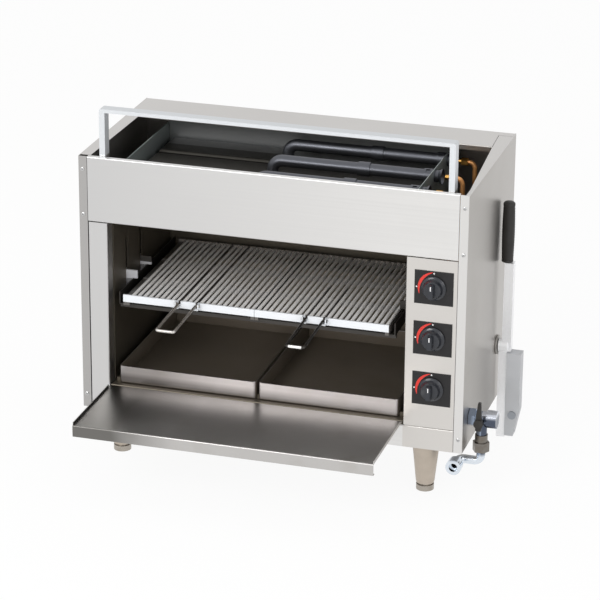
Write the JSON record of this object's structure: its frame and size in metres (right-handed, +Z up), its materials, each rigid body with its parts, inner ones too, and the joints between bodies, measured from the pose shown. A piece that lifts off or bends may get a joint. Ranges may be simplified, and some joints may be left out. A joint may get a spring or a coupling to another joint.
{
  "type": "overhead gas grill",
  "caption": "Open-fronted steel overhead gas grill: side lever lifts the rack with its grates; drop-down front door, drip trays, knobs and rear-vented top.",
  "frame": {"origin": "on the floor, under the middle of the object's bounding box with the door open", "axes": "+Z up, -Y out of the front opening, +X to the side with the knobs and the lever"},
  "size_m": [0.9, 0.6622, 0.781],
  "materials": {
    "front_steel": "satin stainless steel",
    "side_steel": "satin stainless steel",
    "cavity_steel": "heat-tinted stainless steel",
    "burner_steel": "heat-tinted steel",
    "ceramic": "pierced ceramic",
    "tube_steel": "drawn steel tube",
    "brass": "machined brass",
    "pipe_copper": "drawn copper",
    "manifold_steel": "plated steel pipe",
    "knob_plate": "satin dark plate",
    "knob": "dark moulded plastic",
    "door_steel": "polished stainless steel",
    "tray_steel": "satin stainless steel",
    "grate_steel": "bright drawn steel",
    "handle_wire": "bright steel wire",
    "rack_steel": "plated steel",
    "lever_steel": "satin steel bar",
    "lever_grip": "black moulded plastic",
    "counterweight": "grey paint",
    "fitting_chrome": "bright plated brass",
    "union_brass": "dull plated brass",
    "cock_handle": "black moulded plastic",
    "foot_aluminium": "satin die-cast aluminium",
    "foot_pad": "turned steel",
    "screw": "bright steel"
  },
  "bodies": {
    "cabinet": {"hood_panel": "front_steel", "left_stile": "front_steel", "control_panel": "front_steel", "base_fascia": "front_steel", "guard_frame": "front_steel", "left_side_panel": "side_steel", "right_side_panel": "side_steel", "back_panel": "side_steel", "base_pan": "side_steel", "tray_deck": "cavity_steel", "inner_left_wall": "cavity_steel", "inner_right_wall": "cavity_steel", "inner_back_wall": "cavity_steel", "rear_baffle": "burner_steel", "burner_rails": "burner_steel", "front_burner": "burner_steel", "middle_burner": "burner_steel", "rear_burner": "burner_steel", "ceramic_plaques": "ceramic", "mixing_tubes": "tube_steel", "injectors": "brass", "valve_bodies": "brass", "gas_pipes": "pipe_copper", "gas_manifold": "manifold_steel", "knob_plates": "knob_plate", "door_hinges": "door_steel", "guide_rods": "rack_steel", "shaft_bearings": "rack_steel", "gas_cock_body": "fitting_chrome", "gas_inlet_pipe": "fitting_chrome", "inlet_socket": "fitting_chrome", "union_nut": "union_brass", "foot_posts": "foot_aluminium", "foot_pads": "foot_pad", "panel_screws": "screw"},
    "front_door": {"front_door": "door_steel"},
    "left_tray": {"left_drip_tray": "tray_steel"},
    "right_tray": {"right_drip_tray": "tray_steel"},
    "rack": {"rack_frame": "rack_steel", "left_lift_plate": "rack_steel", "right_lift_plate": "rack_steel"},
    "left_grate": {"left_grate": "grate_steel"},
    "right_grate": {"right_grate": "grate_steel"},
    "left_handle": {"left_grate_handle": "handle_wire"},
    "right_handle": {"right_grate_handle": "handle_wire"},
    "lever": {"lift_lever": "lever_steel", "lever_grip": "lever_grip", "counterweight": "counterweight", "lever_shaft": "rack_steel"},
    "level_shaft": {"level_shaft": "rack_steel"},
    "upper_knob": {"upper_knob": "knob", "upper_knob_stem": "brass"},
    "middle_knob": {"middle_knob": "knob", "middle_knob_stem": "brass"},
    "lower_knob": {"lower_knob": "knob", "lower_knob_stem": "brass"},
    "cock_handle": {"gas_cock_handle": "cock_handle"},
    "front_shutter": {"front_air_shutter": "tube_steel"},
    "middle_shutter": {"middle_air_shutter": "tube_steel"},
    "rear_shutter": {"rear_air_shutter": "tube_steel"}
  },
  "joints": [
    {"name": "front_door_hinge", "type": "hinge", "parent": "cabinet", "child": "front_door", "pos_m": [-0.061, -0.1061, 0.162], "axis": [1, 0, 0], "range_deg": [-90, 0]},
    {"name": "left_tray_slide", "type": "slide", "parent": "cabinet", "child": "left_tray", "axis": [0, -1, 0], "range_m": [0, 0.25]},
    {"name": "right_tray_slide", "type": "slide", "parent": "cabinet", "child": "right_tray", "axis": [0, -1, 0], "range_m": [0, 0.25]},
    {"name": "lever_hinge", "type": "hinge", "parent": "cabinet", "child": "lever", "pos_m": [0.405, 0.2049, 0.238], "axis": [1, 0, 0], "range_deg": [0, 45]},
    {"name": "level_shaft_hinge", "type": "hinge", "parent": "cabinet", "child": "level_shaft", "pos_m": [-0.06, 0.2049, 0.156], "axis": [1, 0, 0], "range_deg": [0, 45]},
    {"name": "rack_lift", "type": "slide", "parent": "cabinet", "child": "rack", "axis": [0, 0, 1], "range_m": [0, 0.066]},
    {"name": "left_grate_slide", "type": "slide", "parent": "rack", "child": "left_grate", "axis": [0, -1, 0], "range_m": [0, 0.2]},
    {"name": "right_grate_slide", "type": "slide", "parent": "rack", "child": "right_grate", "axis": [0, -1, 0], "range_m": [0, 0.2]},
    {"name": "left_handle_hinge", "type": "hinge", "parent": "left_grate", "child": "left_handle", "pos_m": [-0.2143, -0.0881, 0.366], "axis": [1, 0, 0], "range_deg": [-90, 0]},
    {"name": "right_handle_hinge", "type": "hinge", "parent": "right_grate", "child": "right_handle", "pos_m": [0.0655, -0.0881, 0.366], "axis": [1, 0, 0], "range_deg": [-90, 0]},
    {"name": "cock_handle_hinge", "type": "hinge", "parent": "cabinet", "child": "cock_handle", "pos_m": [0.419, -0.0711, 0.17], "axis": [0, 1, 0], "range_deg": [0, 90]},
    {"name": "upper_knob_hinge", "type": "hinge", "parent": "cabinet", "child": "upper_knob", "pos_m": [0.323, -0.1161, 0.472], "axis": [0, -1, 0], "range_deg": [0, 90]},
    {"name": "middle_knob_hinge", "type": "hinge", "parent": "cabinet", "child": "middle_knob", "pos_m": [0.323, -0.1161, 0.36], "axis": [0, -1, 0], "range_deg": [0, 90]},
    {"name": "lower_knob_hinge", "type": "hinge", "parent": "cabinet", "child": "lower_knob", "pos_m": [0.323, -0.1161, 0.248], "axis": [0, -1, 0], "range_deg": [0, 90]},
    {"name": "front_shutter_hinge", "type": "hinge", "parent": "cabinet", "child": "front_shutter", "pos_m": [0.2495, 0.0179, 0.632], "axis": [1, 0, 0], "range_deg": [0, 60]},
    {"name": "middle_shutter_hinge", "type": "hinge", "parent": "cabinet", "child": "middle_shutter", "pos_m": [0.2495, 0.1309, 0.632], "axis": [1, 0, 0], "range_deg": [0, 60]},
    {"name": "rear_shutter_hinge", "type": "hinge", "parent": "cabinet", "child": "rear_shutter", "pos_m": [0.2495, 0.2439, 0.632], "axis": [1, 0, 0], "range_deg": [0, 60]}
  ],
  "couplings": [
    {"joint": "rack_lift", "follows": "lever_hinge", "m_per_rad": 0.084034},
    {"joint": "level_shaft_hinge", "follows": "lever_hinge", "ratio": 1},
    {"joint": "left_handle_hinge", "follows": "front_door_hinge", "ratio": 1},
    {"joint": "right_handle_hinge", "follows": "front_door_hinge", "ratio": 1}
  ]
}
